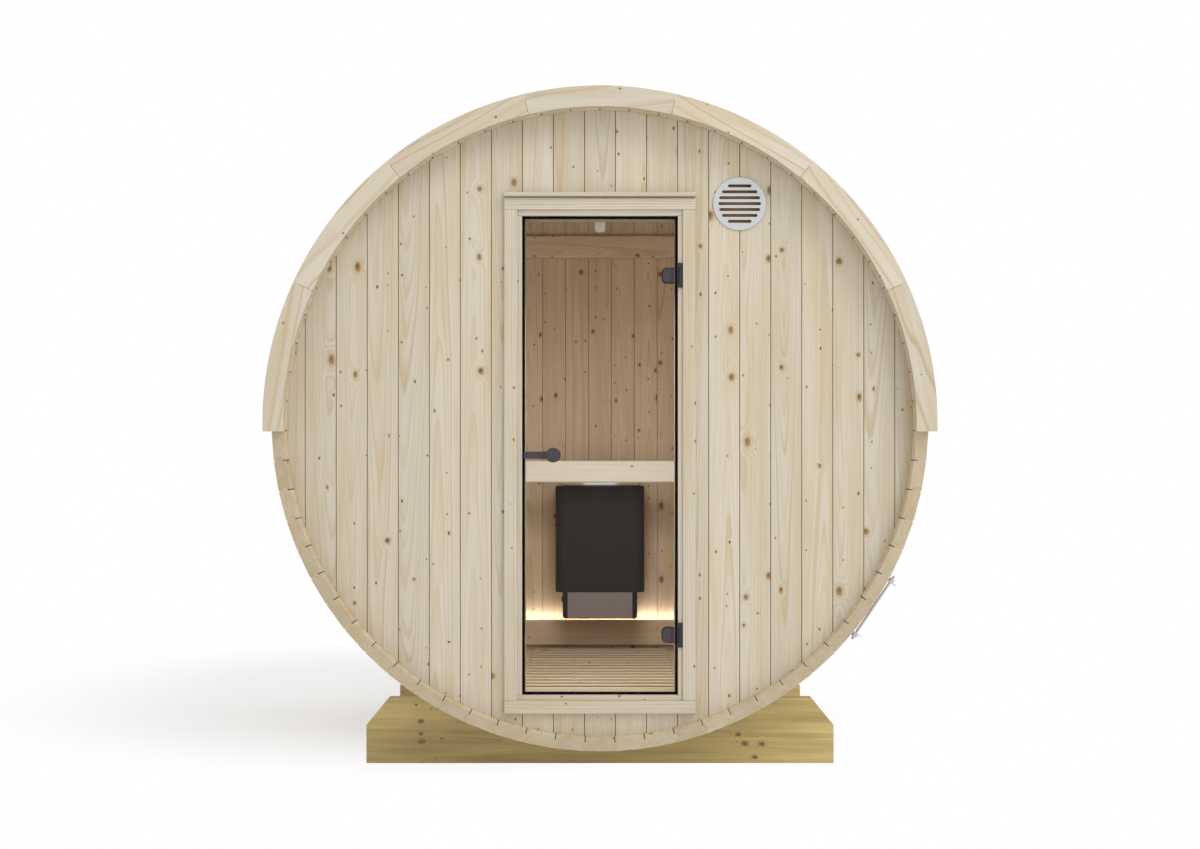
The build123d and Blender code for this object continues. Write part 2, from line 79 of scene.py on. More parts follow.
def paint(code):
    """A colour written as sRGB hex, in the linear values that shaders take."""
    parts = [int(code[i:i + 2], 16) / 255 for i in (1, 3, 5)]
    return [p / 12.92 if p <= 0.04045 else ((p + 0.055) / 1.055) ** 2.4 for p in parts] + [1.0]


def add(tree, kind, inputs=None, out=0, **settings):
    """One node with its settings, and a value or a link for each named input; gives back one output."""
    made = tree.nodes.new(kind)
    for key, value in settings.items():
        setattr(made, key, value)
    for key, value in (inputs or {}).items():
        if isinstance(value, bpy.types.NodeSocket):
            tree.links.new(value, made.inputs[key])
        else:
            made.inputs[key].default_value = value
    return made.outputs[out] if made.outputs else made


def blank(name):
    """A new material with an empty tree."""
    made = bpy.data.materials.new(name)
    made.use_nodes = True
    made.node_tree.nodes.clear()
    return made, made.node_tree


# The figure of wood

def waves(wide, long):
    """Waves to the metre across, along and through a board, from their lengths in millimetres."""
    return 1000 / wide, 1000 / long, 1000 / wide


# Real fibres are too fine to show in the render, so they are drawn as coarse as they need to be
fibre_waves = waves(10 / 3, 200)
streak_waves = waves(500 / 11, 625)
drift_waves = waves(1000 / 9, 5000 / 7)
sway_waves = (0.0, 1000 / 1250, 0.0)
ragged_waves = 1000 / (100 / 13)
year_waves = 1000 / 12.5


def in_whorl(tree, centre, spacing, start, band):
    """1 where a knot's centre lies in one of the bands along the log that have branches."""
    along = add(tree, "ShaderNodeSeparateXYZ", {0: centre}, out=1)
    whorl = add(tree, "ShaderNodeMath", {0: along, 1: start}, operation="SUBTRACT")
    whorl = add(tree, "ShaderNodeMath", {0: whorl, 1: spacing}, operation="DIVIDE")
    whorl = add(tree, "ShaderNodeMath", {0: whorl}, operation="FRACT")
    return add(tree, "ShaderNodeMath", {0: whorl, 1: band / spacing}, operation="LESS_THAN")


def knot_layers(tree, wood, moved, apart, end):
    """Knots: a cell of a stretched grid may hold one, at any place in it; large soft ones, then dark pins."""
    halo_edge, halo_heart, bulge_fade, rag = 2.6, 0.8, -0.20, 0.5
    least_oval, most_oval, least_dark = 0.55, 0.95, 0.4
    heart_edge, heart_full, rim_from, rim_full = 0.75, 0.15, 0.72, 0.98
    ragged = add(tree, "ShaderNodeTexNoise", {"Vector": moved, "Scale": ragged_waves, "Detail": 2.0})
    ragged = add(tree, "ShaderNodeMath", {0: ragged, 1: -0.5}, operation="ADD")
    face = add(tree, "ShaderNodeMath", {0: 1.0, 1: end}, operation="SUBTRACT")
    bulge, halo, knots = 0.0, 0.0, []
    for wide, long, bare, least, span, blur in wood["knots"]:
        cell, heart_off = (wide, long, 1.0), (0.3 * least, -0.4 * least, 0.0)
        grid = add(tree, "ShaderNodeVectorMath", {0: moved, 1: cell}, operation="DIVIDE")
        spot = add(tree, "ShaderNodeTexVoronoi", {"Vector": grid, "Scale": 1.0, "Randomness": 0.8},
                   out="Position", voronoi_dimensions="2D")
        draws = add(tree, "ShaderNodeSeparateColor", {0: spot.node.outputs["Color"]}).node.outputs
        there = add(tree, "ShaderNodeMath", {0: draws[0], 1: bare}, operation="GREATER_THAN")
        there = add(tree, "ShaderNodeMath", {0: there, 1: face}, operation="MULTIPLY")
        if "whorl" in wood:
            centre = add(tree, "ShaderNodeVectorMath", {0: spot, 1: cell}, operation="MULTIPLY")
            centre = add(tree, "ShaderNodeVectorMath", {0: centre, 1: apart}, operation="SUBTRACT")
            branched = in_whorl(tree, centre, *wood["whorl"])
            there = add(tree, "ShaderNodeMath", {0: there, 1: branched}, operation="MULTIPLY")

        # How far a point is from the knot's middle, in radii of a ragged oval
        size = add(tree, "ShaderNodeMapRange", {"Value": draws[0], "From Min": bare, "From Max": 1.0,
                                                "To Min": least, "To Max": least + span})
        oval = add(tree, "ShaderNodeMapRange", {"Value": draws[2], "To Min": least_oval, "To Max": most_oval})
        oval = add(tree, "ShaderNodeMath", {0: oval, 1: long}, operation="MULTIPLY")
        stretch = add(tree, "ShaderNodeCombineXYZ", {0: wide, 1: oval})
        off = add(tree, "ShaderNodeVectorMath", {0: grid, 1: spot}, operation="SUBTRACT")
        off = add(tree, "ShaderNodeVectorMath", {0: off, 1: stretch}, operation="MULTIPLY")
        reach = add(tree, "ShaderNodeVectorMath", {0: off}, out="Value", operation="LENGTH")
        reach = add(tree, "ShaderNodeMath", {0: reach, 1: size}, operation="DIVIDE")
        reach = add(tree, "ShaderNodeMath", {0: ragged, 1: rag, 2: reach}, operation="MULTIPLY_ADD")
        inside = add(tree, "ShaderNodeMapRange",
                     {"Value": reach, "From Min": 1.0 + blur, "From Max": 1.0 - blur}, **smooth)
        inside = add(tree, "ShaderNodeMath", {0: inside, 1: there}, operation="MULTIPLY")

        # A halo round it, and rings that bend out of its way
        near = add(tree, "ShaderNodeMapRange",
                   {"Value": reach, "From Min": halo_edge, "From Max": halo_heart}, **smooth)
        halo = add(tree, "ShaderNodeMath", {0: near, 1: there, 2: halo}, operation="MULTIPLY_ADD")
        swell = add(tree, "ShaderNodeMath", {0: reach, 1: 2.0}, operation="POWER")
        swell = add(tree, "ShaderNodeMath", {0: swell, 1: bulge_fade}, operation="MULTIPLY")
        swell = add(tree, "ShaderNodeMath", {0: swell}, operation="EXPONENT")
        swell = add(tree, "ShaderNodeMath", {0: swell, 1: size}, operation="MULTIPLY")
        bulge = add(tree, "ShaderNodeMath", {0: swell, 1: there, 2: bulge}, operation="MULTIPLY_ADD")

        # A dark heart off its middle, and on some a dark rim
        heart = add(tree, "ShaderNodeVectorMath", {0: off, 1: heart_off}, operation="ADD")
        heart = add(tree, "ShaderNodeVectorMath", {0: heart}, out="Value", operation="LENGTH")
        heart = add(tree, "ShaderNodeMath", {0: heart, 1: size}, operation="DIVIDE")
        core = add(tree, "ShaderNodeMapRange",
                   {"Value": heart, "From Min": heart_edge, "From Max": heart_full})
        dark = add(tree, "ShaderNodeMapRange", {"Value": draws[1], "To Min": least_dark, "To Max": 1.0})
        core = add(tree, "ShaderNodeMath", {0: core, 1: dark}, operation="MULTIPLY")
        rim = add(tree, "ShaderNodeMapRange", {"Value": reach, "From Min": rim_from, "From Max": rim_full})
        rim = add(tree, "ShaderNodeMath", {0: rim, 1: draws[2]}, operation="MULTIPLY")
        core = add(tree, "ShaderNodeMath", {0: core, 1: rim}, operation="MAXIMUM")
        knots.append((inside, core))
    return bulge, halo, knots


def year_rings(tree, wood, place, moved, chances, bulge):
    """Share of late wood, by distance to a pith that wanders and lies at its own depth in each board."""
    least_depth, depth_span, most_lean, bulge_pull = 0.035, 0.09, 0.022, 1.3
    late_full, least_late = 0.9, 0.35
    across, along, depth = add(tree, "ShaderNodeSeparateXYZ", {0: place}).node.outputs
    sway = add(tree, "ShaderNodeVectorMath", {0: moved, 1: sway_waves}, operation="MULTIPLY")
    sway = add(tree, "ShaderNodeTexNoise", {"Vector": sway, "Scale": 1.0, "Detail": 1.0})
    sway = add(tree, "ShaderNodeMath", {0: sway, 1: -0.5}, operation="ADD")
    sway = add(tree, "ShaderNodeMath", {0: sway, 1: wood["sway"]}, operation="MULTIPLY")
    pith = add(tree, "ShaderNodeMath", {0: chances[0], 1: -0.5}, operation="ADD")
    pith = add(tree, "ShaderNodeMath", {0: pith, 1: wood["pith_span"], 2: sway}, operation="MULTIPLY_ADD")
    pith = add(tree, "ShaderNodeMath", {0: pith, 1: wood["pith_off"]}, operation="ADD")
    sideways = add(tree, "ShaderNodeMath", {0: across, 1: pith}, operation="SUBTRACT")
    lean = add(tree, "ShaderNodeMapRange", {"Value": chances[1], "To Min": -most_lean, "To Max": most_lean})
    deep = add(tree, "ShaderNodeMath", {0: lean, 1: along, 2: depth}, operation="MULTIPLY_ADD")
    deep = add(tree, "ShaderNodeMath", {0: chances[2], 1: depth_span, 2: deep}, operation="MULTIPLY_ADD")
    deep = add(tree, "ShaderNodeMath", {0: deep, 1: least_depth}, operation="ADD")
    flat = add(tree, "ShaderNodeCombineXYZ", {0: sideways, 1: deep})
    ring = add(tree, "ShaderNodeVectorMath", {0: flat}, out="Value", operation="LENGTH")
    drift = add(tree, "ShaderNodeVectorMath", {0: moved, 1: drift_waves}, operation="MULTIPLY")
    drift = add(tree, "ShaderNodeTexNoise", {"Vector": drift, "Scale": 1.0, "Detail": 2.0})
    ring = add(tree, "ShaderNodeMath", {0: drift, 1: wood["drift"], 2: ring}, operation="MULTIPLY_ADD")
    ring = add(tree, "ShaderNodeMath", {0: bulge, 1: bulge_pull, 2: ring}, operation="MULTIPLY_ADD")

    # Good and bad years: the rings' widths vary, and so does how dark each one's late wood is
    years = add(tree, "ShaderNodeTexNoise",
                {"W": ring, "Scale": year_waves, "Detail": 1.0}, noise_dimensions="1D")
    shift = wood["years"] / wood["ring"]
    turn = add(tree, "ShaderNodeMath", {0: ring, 1: wood["ring"]}, operation="DIVIDE")
    turn = add(tree, "ShaderNodeMath", {0: years, 1: shift, 2: turn}, operation="MULTIPLY_ADD")
    part = add(tree, "ShaderNodeMath", {0: turn}, operation="FRACT")
    late = add(tree, "ShaderNodeMapRange",
               {"Value": part, "From Min": wood["late_from"], "From Max": late_full}, **smooth)
    close = add(tree, "ShaderNodeMapRange", {"Value": part, "From Min": 1.0, "From Max": late_full})
    late = add(tree, "ShaderNodeMath", {0: late, 1: close}, operation="MULTIPLY")
    year = add(tree, "ShaderNodeMath", {0: turn}, operation="FLOOR")
    year = add(tree, "ShaderNodeTexWhiteNoise", {"W": year}, noise_dimensions="1D")
    year = add(tree, "ShaderNodeMapRange", {"Value": year, "To Min": least_late, "To Max": 1.0})
    return add(tree, "ShaderNodeMath", {0: late, 1: year}, operation="MULTIPLY")


def figure(name, wood):
    """A group that gives the figure of a sawn board: rings about a wandering pith, bent round knots."""
    halo_share, boards_apart = 0.42, 29.0
    tree = bpy.data.node_groups.new(name, "ShaderNodeTree")
    for label, way, kind in (
        ("Place", "INPUT", "NodeSocketVector"),
        ("Seed", "INPUT", "NodeSocketFloat"),
        ("End", "INPUT", "NodeSocketFloat"),
        ("Colour", "OUTPUT", "NodeSocketColor"),
        ("Height", "OUTPUT", "NodeSocketFloat"),
    ):
        tree.interface.new_socket(label, in_out=way, socket_type=kind)
    place = add(tree, "NodeGroupInput")
    seed, end = place.node.outputs["Seed"], place.node.outputs["End"]
    luck = add(tree, "ShaderNodeTexWhiteNoise", {"W": seed}, out="Color", noise_dimensions="1D")
    chances = add(tree, "ShaderNodeSeparateColor", {0: luck}).node.outputs
    apart = add(tree, "ShaderNodeVectorMath", {0: luck, "Scale": boards_apart}, operation="SCALE")
    moved = add(tree, "ShaderNodeVectorMath", {0: place, 1: apart}, operation="ADD")
    bulge, halo, knots = knot_layers(tree, wood, moved, apart, end)
    late = year_rings(tree, wood, place, moved, chances, bulge)
    fibre = add(tree, "ShaderNodeVectorMath", {0: moved, 1: fibre_waves}, operation="MULTIPLY")
    fibre = add(tree, "ShaderNodeTexNoise", {"Vector": fibre, "Scale": 1.0, "Detail": 3.0})
    streak = add(tree, "ShaderNodeVectorMath", {0: moved, 1: streak_waves}, operation="MULTIPLY")
    streak = add(tree, "ShaderNodeTexNoise", {"Vector": streak, "Scale": 1.0, "Detail": 2.0})

    # Colour: pale early wood, tan late wood, then warmer streaks, halo, knots, board tone and end grain
    share = add(tree, "ShaderNodeMath", {0: late, 1: wood["contrast"]}, operation="MULTIPLY")
    tint = add(tree, "ShaderNodeMix",
               {0: share, 6: paint(wood["early"]), 7: paint(wood["late"])}, **in_colour)
    warm = add(tree, "ShaderNodeMapRange",
               {"Value": streak, "From Min": 0.42, "From Max": 0.72, "To Max": wood["streak"]})
    tint = add(tree, "ShaderNodeMix", {0: warm, 6: tint, 7: paint(wood["heart"])}, **in_colour)
    halo = add(tree, "ShaderNodeMath", {0: halo, 1: halo_share}, operation="MULTIPLY", use_clamp=True)
    tint = add(tree, "ShaderNodeMix", {0: halo, 6: tint, 7: paint(wood["halo"])}, **in_colour)
    for (inside, core), (outer, inner) in zip(knots, wood["knot_tints"]):
        branch = add(tree, "ShaderNodeMix", {0: core, 6: paint(outer), 7: paint(inner)}, **in_colour)
        tint = add(tree, "ShaderNodeMix", {0: inside, 6: tint, 7: branch}, **in_colour)
    tone = add(tree, "ShaderNodeMapRange", {"Value": chances[1], "To Min": 1 - wood["tone"], "To Max": 1.0})
    fleck = add(tree, "ShaderNodeMapRange",
                {"Value": fibre, "From Min": 0.25, "From Max": 0.75, "To Min": 0.93, "To Max": 1.05})
    tone = add(tree, "ShaderNodeMath", {0: tone, 1: fleck}, operation="MULTIPLY")
    tint = add(tree, "ShaderNodeVectorMath", {0: tint, "Scale": tone}, operation="SCALE")
    cut = add(tree, "ShaderNodeMix", {0: end, 6: paint("#FFFFFF"), 7: paint(wood["end"])}, **in_colour)
    tint = add(tree, "ShaderNodeVectorMath", {0: tint, 1: cut}, operation="MULTIPLY")
    height = add(tree, "ShaderNodeMath", {0: late, 1: fibre}, operation="ADD")
    add(tree, "NodeGroupOutput", {"Colour": tint, "Height": height})
    return tree


# How boards lie on a piece: each lay function gives a place in the board, the board's seed, how much of the
# face is end grain, and how much is painted dark as the shade in a joint

def facing(tree, way):
    """How squarely a face looks along a direction, 0 to 1: end grain."""
    normal = add(tree, "ShaderNodeTexCoord", out="Normal")
    dot = add(tree, "ShaderNodeVectorMath", {0: normal, 1: way}, out="Value", operation="DOT_PRODUCT")
    dot = add(tree, "ShaderNodeMath", {0: dot}, operation="ABSOLUTE")
    return add(tree, "ShaderNodeMapRange", {"Value": dot, "From Min": 0.6, "From Max": 0.85})


def around(tree, step, radius, flip):
    """A place in one board of a ring about the barrel's axis, and the board's number."""
    spot = add(tree, "ShaderNodeTexCoord", out="Object")
    spot = add(tree, "ShaderNodeVectorMath", {0: spot, 1: (0.0, 0.0, axis_height)}, operation="SUBTRACT")
    axes = add(tree, "ShaderNodeSeparateXYZ", {0: spot}).node.outputs
    up = add(tree, "ShaderNodeMath", {0: axes[2], 1: flip}, operation="MULTIPLY")
    turn = add(tree, "ShaderNodeMath", {0: axes[0], 1: up}, operation="ARCTAN2")
    turn = add(tree, "ShaderNodeMath", {0: turn, 1: step}, operation="DIVIDE")
    index = add(tree, "ShaderNodeMath", {0: turn}, operation="ROUND")
    back = add(tree, "ShaderNodeMath", {0: index, 1: -flip * step}, operation="MULTIPLY")
    spot = add(tree, "ShaderNodeVectorRotate", {"Vector": spot, "Angle": back}, rotation_type="Y_AXIS")
    middle = (0.0, 0.0, flip * radius)
    return add(tree, "ShaderNodeVectorMath", {0: spot, 1: middle}, operation="SUBTRACT"), index


def lay_staves(tree):
    """Staves run along the barrel; a bead belongs to its own stave, and the slot of a joint is painted dark
    as the shade in it.
    """
    spot, index = around(tree, stave_step, stave_middle, -1)
    slope = math.tan(stave_step / 2)
    hand = add(tree, "ShaderNodeMath", {0: index}, operation="SIGN")
    bead = add(tree, "ShaderNodeMath", {0: hand, 1: -stave_middle * slope}, operation="MULTIPLY")
    bead = add(tree, "ShaderNodeCombineXYZ", {0: bead})
    off = add(tree, "ShaderNodeVectorMath", {0: spot, 1: (1.0, 0.0, 1.0)}, operation="MULTIPLY")
    off = add(tree, "ShaderNodeVectorMath", {0: off, 1: bead}, out="Value", operation="DISTANCE")
    inside = add(tree, "ShaderNodeMath", {0: off, 1: bead_radius}, operation="LESS_THAN")
    inside = add(tree, "ShaderNodeMath", {0: inside, 1: hand}, operation="MULTIPLY")
    index = add(tree, "ShaderNodeMath", {0: index, 1: inside}, operation="SUBTRACT")
    seed = add(tree, "ShaderNodeMath", {0: index, 1: ring_seed_step, 2: ring_seed}, operation="MULTIPLY_ADD")
    parts = add(tree, "ShaderNodeSeparateXYZ", {0: spot}).node.outputs
    side = add(tree, "ShaderNodeMath", {0: parts[0]}, operation="ABSOLUTE")
    rim = add(tree, "ShaderNodeMath", {0: stave_middle, 1: parts[2]}, operation="SUBTRACT")
    rim = add(tree, "ShaderNodeMath", {0: rim, 1: slope}, operation="MULTIPLY")
    rim = add(tree, "ShaderNodeMath", {0: rim, 1: side}, operation="SUBTRACT")
    joint_shade = add(tree, "ShaderNodeMath", {0: rim, 1: slot_half}, operation="LESS_THAN")
    inner = add(tree, "ShaderNodeMath", {0: parts[2], 1: slot_from_middle}, operation="GREATER_THAN")
    joint_shade = add(tree, "ShaderNodeMath", {0: joint_shade, 1: inner}, operation="MULTIPLY")
    return spot, seed, facing(tree, (0.0, 1.0, 0.0)), joint_shade


def lay_trim(tree):
    """Trim boards lie across the barrel's end, with the grain along the chord of each."""
    spot, index = around(tree, trim_step, trim_middle, 1)
    chord, depth, radial = add(tree, "ShaderNodeSeparateXYZ", {0: spot}).node.outputs
    place = add(tree, "ShaderNodeCombineXYZ", {0: radial, 1: chord, 2: depth})
    seed = add(tree, "ShaderNodeMath", {0: index, 1: ring_seed_step, 2: ring_seed}, operation="MULTIPLY_ADD")
    return place, seed, 0.0, 0.0


def lay_rows(axes, pitch, start, middle, seed_from, thick=0.0):
    """Like boards side by side: axes names the row's, the grain's and the depth's axis, as 0, 1 or 2."""
    joint_edge, joint_deep, joint_share = 0.0012, 0.004, 0.9

    def lay(tree):
        spot = add(tree, "ShaderNodeTexCoord", out="Object")
        spot = add(tree, "ShaderNodeVectorMath", {0: spot, 1: middle}, operation="SUBTRACT")
        parts = add(tree, "ShaderNodeSeparateXYZ", {0: spot}).node.outputs
        row, grain, depth = (parts[axis] for axis in axes)
        run = add(tree, "ShaderNodeMath", {0: row, 1: start}, operation="SUBTRACT")
        index = add(tree, "ShaderNodeMath", {0: run, 1: pitch}, operation="DIVIDE")
        index = add(tree, "ShaderNodeMath", {0: index}, operation="ROUND")
        gone = add(tree, "ShaderNodeMath", {0: index, 1: pitch}, operation="MULTIPLY")
        across = add(tree, "ShaderNodeMath", {0: run, 1: gone}, operation="SUBTRACT")
        place = add(tree, "ShaderNodeCombineXYZ", {0: across, 1: grain, 2: depth})
        seed = add(tree, "ShaderNodeMath",
                   {0: index, 1: row_seed_step, 2: seed_from}, operation="MULTIPLY_ADD")
        joint_shade = 0.0
        # With a thickness, the sides of each board deeper than its eased edge are painted dark as the shade
        # between boards
        if thick:
            half = abs(thick) / 2
            inner = add(tree, "ShaderNodeMath", {0: depth, 1: -thick / 2}, operation="ADD")
            inner = add(tree, "ShaderNodeMath", {0: inner}, operation="ABSOLUTE")
            joint_shade = add(tree, "ShaderNodeMapRange", {"Value": inner, "From Min": half - joint_edge,
                                                     "From Max": half - joint_deep, "To Max": joint_share})
        return place, seed, facing(tree, [float(i == axes[1]) for i in range(3)]), joint_shade
    return lay


def lay_one(axes, node, seed):
    """A single timber: its middle comes from the CAD node's box."""
    low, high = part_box(node)
    return lay_rows(axes, lone_pitch, 0.0, list((low + high) / 2), seed)


# Kinds of surface

def timber(name, grain, lay, rough=0.55, gap="#7C4B22"):
    """Wood of one figure, laid on a piece by a function that tells each board and its grain apart."""
    made, tree = blank(name)
    place, seed, end, joint_shade = lay(tree)
    tint = add(tree, "ShaderNodeGroup", {"Place": place, "Seed": seed, "End": end}, node_tree=grain)
    height = tint.node.outputs["Height"]
    bump = add(tree, "ShaderNodeBump", {"Strength": 0.6, "Distance": 0.00025, "Height": height})
    # The gap colour is painted shade, dark brown, in the joints between boards and in the slots of the staves
    tint = add(tree, "ShaderNodeMix", {0: joint_shade, 6: tint, 7: paint(gap)}, **in_colour)
    skin = add(tree, "ShaderNodeBsdfPrincipled", {"Base Color": tint, "Roughness": rough, "Normal": bump})
    add(tree, "ShaderNodeOutputMaterial", {"Surface": skin})
    return made


def plain(name, code, rough, metal=0.0, speck=0.0, speck_mm=1.0, **more):
    """A surface of one colour, with a fine unevenness where speck is given."""
    made, tree = blank(name)
    inputs = {"Base Color": paint(code), "Roughness": rough, "Metallic": metal, **more}
    if speck:
        spot = add(tree, "ShaderNodeTexCoord", out="Object")
        grain = add(tree, "ShaderNodeTexNoise", {"Vector": spot, "Scale": 1000 / speck_mm, "Detail": 3.0})
        inputs["Normal"] = add(tree, "ShaderNodeBump",
                               {"Strength": speck, "Distance": 0.0004, "Height": grain})
    skin = add(tree, "ShaderNodeBsdfPrincipled", inputs)
    add(tree, "ShaderNodeOutputMaterial", {"Surface": skin})
    return made


def speckled(name, dark, pale, grain_mm, rough, depth):
    """A broken or gritty surface: two tones in grains, and a tone of its own for each loose piece."""
    made, tree = blank(name)
    spot = add(tree, "ShaderNodeTexCoord", out="Object")
    grain = add(tree, "ShaderNodeTexNoise",
                {"Vector": spot, "Scale": 1000 / grain_mm, "Detail": 4.0, "Roughness": 0.7})
    share = add(tree, "ShaderNodeMapRange", {"Value": grain, "From Min": 0.35, "From Max": 0.75})
    tint = add(tree, "ShaderNodeMix", {0: share, 6: paint(dark), 7: paint(pale)}, **in_colour)
    own = add(tree, "ShaderNodeNewGeometry", out="Random Per Island")
    own = add(tree, "ShaderNodeMapRange", {"Value": own, "To Min": 0.7, "To Max": 1.15})
    tint = add(tree, "ShaderNodeVectorMath", {0: tint, "Scale": own}, operation="SCALE")
    bump = add(tree, "ShaderNodeBump", {"Strength": depth, "Distance": 0.0008, "Height": grain})
    skin = add(tree, "ShaderNodeBsdfPrincipled", {"Base Color": tint, "Roughness": rough, "Normal": bump})
    add(tree, "ShaderNodeOutputMaterial", {"Surface": skin})
    return made


def glass(name):
    """Thin clear glass: light passes straight through, and a faint reflection lies on it."""
    made, tree = blank(name)
    through = add(tree, "ShaderNodeBsdfTransparent", {"Color": paint("#F4F6F5")})
    back = add(tree, "ShaderNodeBsdfGlossy", {"Color": paint("#FFFFFF"), "Roughness": 0.0})
    share = add(tree, "ShaderNodeFresnel", {"IOR": 1.1})
    both = add(tree, "ShaderNodeMixShader", {0: share, 1: through, 2: back})
    add(tree, "ShaderNodeOutputMaterial", {"Surface": both})
    return made


# Woods. Lengths are in metres: ring is a year's growth, years how far good and bad years shift it, sway and
# drift how far the pith and the rings wander, pith_span and pith_off where the pith lies across a board
spruce = {
    "late_from": 0.4, "ring": 0.0034, "years": 0.0102, "contrast": 0.54, "tone": 0.10, "streak": 0.6,
    "sway": 0.05, "pith_span": 0.09, "pith_off": 0.0, "drift": 0.010,
    # Knots: cell width, cell length, share of empty cells, least radius, spread of radius, blur of the rim
    "knots": ((0.075, 0.26, 0.70, 0.0032, 0.0070, 0.22), (0.045, 0.12, 0.70, 0.0016, 0.0018, 0.2)),
    "knot_tints": (("#9A7A4A", "#47331F"), ("#6C5134", "#33261A")),
    "early": "#C3BAA8", "late": "#A88F63", "heart": "#B8A581", "halo": "#A68A57", "end": "#EBE4D8",
}
spruce_figure = figure("spruce_figure", spruce)
stave_figure = figure("spruce_figure_warm", {
    **spruce, "early": "#D1C2A7", "late": "#B49664", "heart": "#C5AC80", "end": "#DADAD9",
})
# A browner, warmer copy of the spruce: painted shade for the boards and battens inside the dim room
shaded_room_figure = figure("spruce_figure_painted_shade", {
    **spruce, "early": "#C7B2A0", "late": "#AB8A62", "heart": "#BB9F7E", "halo": "#A37C55",
    "knot_tints": (("#8C6747", "#4C3526"), ("#6F5038", "#3B2A20")),
})
trim_figure = figure("spruce_figure_straight", {
    **spruce, "late_from": 0.62, "ring": 0.0080, "years": 0.0060, "contrast": 0.85,
    "sway": 0.03, "pith_span": 0.18, "pith_off": 0.17, "drift": 0.012,
    "knots": ((0.075, 0.60, 0.75, 0.0030, 0.0040, 0.35), (0.055, 0.20, 0.62, 0.0014, 0.0016, 0.2)),
})
aspen_figure = figure("aspen_figure", {
    **spruce, "contrast": 0.28, "streak": 0.3, "knots": ((0.09, 0.40, 0.7, 0.0025, 0.0040, 0.5),),
    "knot_tints": (("#B49A6C", "#8E7346"),), "early": "#D4CEC5", "late": "#BBAF9A", "heart": "#C8BFB0",
})
pine_figure = figure("pine_figure", {
    **spruce, "ring": 0.0052, "contrast": 0.7, "tone": 0.03, "sway": 0.08, "drift": 0.022, "streak": 0.85,
    # Branches of this tree come in whorls: spacing, first one from the middle, width
    "whorl": (1.16, -0.68, 0.12),
    "knots": ((0.042, 0.060, 0.45, 0.0060, 0.0035, 0.4), (0.06, 0.09, 0.6, 0.0016, 0.0020, 0.3)),
    "knot_tints": (("#7C6C54", "#574B3E"), ("#6F5F48", "#524535")),
    "early": "#C9B47A", "late": "#A28C55", "heart": "#9C8857", "halo": "#A08A55", "end": "#D8D2BC",
})
alder_figure = figure("alder_figure", {
    **spruce, "contrast": 0.4, "knots": (), "knot_tints": (),
    "early": "#A8805C", "late": "#8A6240", "heart": "#996F4C",
})

# Axes of a row, its grain and its depth: for upright boards, level ones and ones along the barrel
upright, level, lengthwise = (0, 2, 1), (2, 0, 1), (0, 1, 2)

# Planed spruce staves: pale and silky, each stave with its own rings that turn into arcs on the end grain;
# the slots of the joints are painted near black-brown as the shade in them
mat_staves = timber("spruce_staves_planed", stave_figure, lay_staves, gap="#472E1A")
# Spruce trim sawn to a curve: clear grain lines that run out at the curved edges
mat_trim = timber("spruce_trim_bandsawn", trim_figure, lay_trim)
# Planed spruce wall boards with knots: figure and tone change from board to board; the sides of the joints
# are painted dark brown as their shade
wall_middle = (0.0, wall_front, axis_height)
mat_wall = timber("spruce_boards_planed", spruce_figure,
                  lay_rows(upright, board_pitch, 0.0, wall_middle, 3.7, wall_thickness))
# The back wall's boards inside: the same spruce, painted browner as the shade of the dim room, with the same
# knots
room_middle = (0.0, back_inside, axis_height)
mat_back = timber("spruce_boards_planed_back", shaded_room_figure,
                  lay_rows(upright, board_pitch, 0.0, room_middle, 57.7, wall_thickness))
# The same boards outside: as pale as the front, with the same painted shade in the joints
rear_middle = (0.0, back_outside, axis_height)
mat_rear = timber("spruce_boards_planed_rear", spruce_figure,
                  lay_rows(upright, board_pitch, 0.0, rear_middle, 57.7, -wall_thickness))
# Spruce slats, planed and walked on: each with its own figure, and their sides below the top painted dark as
# the shade between slats
floor_middle = (0.0, slat_start, floor_top)
mat_slats = timber("spruce_slats_planed", spruce_figure,
                   lay_rows((1, 0, 2), slat_pitch, slat_width / 2, floor_middle, 91.1, -slat_thickness))
# Alder slide, planed: red-brown
mat_damper = timber("alder_planed_damper", alder_figure,
                    lay_rows(level, lone_pitch, 0.0, (vent_x, wall_inside, vent_z), 77.0))

# Satin powder coat on zinc die-cast: dark grey with a soft sheen
mat_grey = plain("powder_coat_satin_grey", "#322F34", 0.40)
# Satin powder coat on the hinge leaves: nearly black, so that the clamps stand out from them
mat_leaf = plain("powder_coat_satin_black", "#242227", 0.40)
# Extruded black rubber: almost no light back
mat_seal = plain("rubber_extruded_black", "#09090B", 0.8, **{"Specular IOR Level": 0.1})
# Brushed pale metal: bright, a little soft
mat_pale = plain("aluminium_brushed_pale", "#C2C4C4", 0.38, metal=0.55)
# Heat-proof paint on sheet steel: matt black
mat_enamel = plain("heatproof_paint_sprayed_black", "#252428", 0.6)
# Brushed stainless panel: grey with a broad soft highlight
mat_steel = plain("stainless_brushed", "#AFA9B4", 0.42, metal=1.0)
# Moulded black plastic: dark, with a dull sheen
mat_black = plain("plastic_moulded_black", "#1A191B", 0.45)
# Moulded white plastic: clean and pale against the wood
mat_white = plain("plastic_moulded_white", "#F4F5F8", 0.4)
# Zinc-plated steel: grey, slightly mottled
mat_zinc = plain("steel_zinc_plated", "#C6C4C9", 0.32, metal=1.0, speck=0.1, speck_mm=20 / 3)
# Polished stainless sheet: mirrors softly
mat_polished = plain("stainless_polished", "#F2EEEE", 0.10, metal=1.0)
# Dark olivine stone, split: dull, with paler faces
mat_stone = speckled("olivine_split", "#3B3A39", "#6A6763", 200 / 9, 0.9, 0.5)
